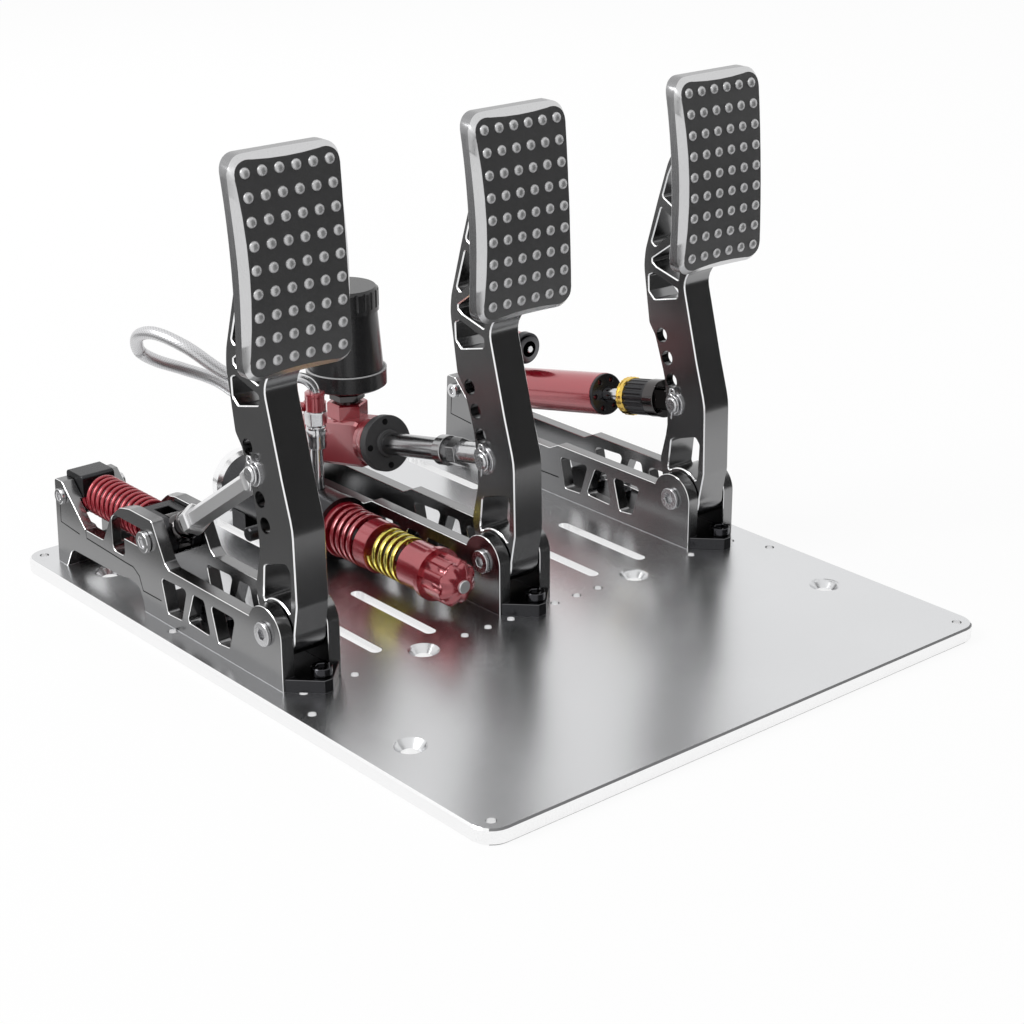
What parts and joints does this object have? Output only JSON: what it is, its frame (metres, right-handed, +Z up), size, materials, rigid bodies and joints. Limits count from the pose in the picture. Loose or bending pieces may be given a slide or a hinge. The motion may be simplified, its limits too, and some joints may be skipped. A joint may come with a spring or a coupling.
{
  "type": "sim racing pedal set",
  "caption": "Floor-standing driving simulator pedals on a machined plate: sprung clutch, hydraulic brake with reservoir and spring stack, and damped throttle.",
  "frame": {"origin": "centre of the base plate's underside", "axes": "+X to the driver's right, +Y away from the driver, +Z up"},
  "size_m": [0.403, 0.488, 0.327],
  "materials": {
    "plate": "satin machined",
    "dark_anodised": "dark anodised, polished edges",
    "black_anodised": "black anodised",
    "red_anodised": "crimson anodised",
    "red_spring": "crimson powder coat",
    "gold": "gold plated",
    "bearing": "turned bronze",
    "chrome": "polished",
    "steel": "satin turned",
    "pad_metal": "brushed",
    "tread": "black anodised, fine grain",
    "black_plastic": "fine texture",
    "black_screw": "black oxide",
    "braid": "braided sleeve"
  },
  "bodies": {
    "root": {"base_plate": "plate", "clutch_left_plate": "dark_anodised", "clutch_right_plate": "dark_anodised", "brake_left_plate": "dark_anodised", "brake_right_plate": "dark_anodised", "throttle_left_plate": "dark_anodised", "throttle_right_plate": "dark_anodised", "pedal_feet": "black_anodised", "foot_screws": "black_screw", "pivot_bolts": "chrome", "pivot_bearings": "bearing", "cross_bolts": "chrome", "rear_spacers": "chrome", "clutch_spring": "red_spring", "clutch_spring_block": "black_anodised", "master_cylinder": "red_anodised", "master_flange": "black_anodised", "reservoir_neck": "red_anodised", "reservoir": "black_plastic", "reservoir_cap": "black_plastic", "outlet_fitting": "red_anodised", "brake_hose": "braid", "slave_cylinder": "black_anodised", "slave_flange": "steel", "slave_feet": "black_anodised", "slave_red_spring": "red_spring", "slave_spring_seat": "red_anodised", "slave_inlet": "steel"},
    "clutch_pedal": {"clutch_arm": "dark_anodised", "clutch_pad": "pad_metal", "clutch_tread": "tread", "clutch_pin": "chrome"},
    "clutch_link": {"clutch_rod": "chrome", "clutch_rod_end": "black_anodised"},
    "clutch_slider": {"clutch_crosshead": "black_anodised", "crosshead_pin": "chrome", "clutch_spring_guide": "chrome"},
    "brake_pedal": {"brake_arm": "dark_anodised", "brake_pad": "pad_metal", "brake_tread": "tread", "brake_pin": "chrome"},
    "brake_push": {"brake_pushrod": "chrome", "brake_clevis": "black_anodised"},
    "slave_piston": {"slave_rod": "chrome", "slave_front_cup": "red_anodised"},
    "preload_knob": {"slave_knob": "red_anodised"},
    "spring_collar": {"slave_middle_collar": "red_anodised", "slave_gold_spring": "gold"},
    "throttle_pedal": {"throttle_arm": "dark_anodised", "throttle_pad": "pad_metal", "throttle_tread": "tread", "throttle_pin": "chrome"},
    "damper_body": {"throttle_damper": "red_anodised", "damper_cap": "black_anodised", "damper_rear_eye": "black_anodised"},
    "damper_shaft": {"damper_rod": "chrome", "damper_eye": "black_anodised", "damper_ring": "gold"},
    "fluted_knob": {"damper_knob": "black_anodised"},
    "adjuster_disc": {"damper_adjuster": "black_anodised"}
  },
  "joints": [
    {"name": "clutch_pivot", "type": "hinge", "parent": "root", "child": "clutch_pedal", "pos_m": [-0.165, -0.024, 0.042], "axis": [-1, 0, 0], "range_deg": [0, 16], "stiffness_Nm_per_rad": 30, "springref_deg": -5.73},
    {"name": "clutch_link_pivot", "type": "hinge", "parent": "clutch_pedal", "child": "clutch_link", "pos_m": [-0.165, -0.0072, 0.1349], "axis": [-1, 0, 0], "range_deg": [-20, 0]},
    {"name": "crosshead_slide", "type": "slide", "parent": "root", "child": "clutch_slider", "axis": [0, 1, 0], "range_m": [0, 0.0301], "deforming": ["clutch_spring"]},
    {"name": "brake_pivot", "type": "hinge", "parent": "root", "child": "brake_pedal", "pos_m": [0, -0.024, 0.042], "axis": [-1, 0, 0], "range_deg": [0, 8], "stiffness_Nm_per_rad": 100, "springref_deg": -1.72},
    {"name": "pushrod_slide", "type": "slide", "parent": "root", "child": "brake_push", "axis": [0, 0.9802, -0.1978], "range_m": [0, 0.009]},
    {"name": "slave_slide", "type": "slide", "parent": "root", "child": "slave_piston", "axis": [0, 1, 0], "range_m": [0, 0.0061], "deforming": ["slave_gold_spring"]},
    {"name": "collar_slide", "type": "slide", "parent": "root", "child": "spring_collar", "axis": [0, 1, 0], "range_m": [0, 0.0031], "deforming": ["slave_red_spring"]},
    {"name": "preload_turn", "type": "hinge", "parent": "slave_piston", "child": "preload_knob", "pos_m": [-0.045, -0.017, 0.035], "axis": [0, 1, 0], "continuous": true},
    {"name": "throttle_pivot", "type": "hinge", "parent": "root", "child": "throttle_pedal", "pos_m": [0.165, -0.024, 0.042], "axis": [-1, 0, 0], "range_deg": [0, 20], "stiffness_Nm_per_rad": 10, "springref_deg": -5.73},
    {"name": "damper_swing", "type": "hinge", "parent": "root", "child": "damper_body", "pos_m": [0.165, 0.207, 0.06], "axis": [-1, 0, 0], "range_deg": [-0.5, 0]},
    {"name": "damper_slide", "type": "slide", "parent": "damper_body", "child": "damper_shaft", "axis": [0, 0.9802, -0.1978], "range_m": [0, 0.022]},
    {"name": "fluted_knob_turn", "type": "hinge", "parent": "damper_shaft", "child": "fluted_knob", "pos_m": [0.165, 0.0264, 0.09644], "axis": [0, 0.9802, -0.1978], "continuous": true},
    {"name": "adjuster_turn", "type": "hinge", "parent": "damper_body", "child": "adjuster_disc", "pos_m": [0.165, 0.151, 0.102], "axis": [0, 1, 0], "range_deg": [-135, 135]}
  ],
  "couplings": [
    {"joint": "clutch_link_pivot", "follows": "clutch_pivot", "ratio": -1.245},
    {"joint": "crosshead_slide", "follows": "clutch_pivot", "m_per_rad": 0.10765},
    {"joint": "pushrod_slide", "follows": "brake_pivot", "m_per_rad": 0.06346},
    {"joint": "slave_slide", "follows": "brake_pivot", "m_per_rad": 0.04297},
    {"joint": "collar_slide", "follows": "brake_pivot", "m_per_rad": 0.021485},
    {"joint": "damper_swing", "follows": "throttle_pivot", "ratio": -0.0225},
    {"joint": "damper_slide", "follows": "throttle_pivot", "m_per_rad": 0.0628}
  ]
}
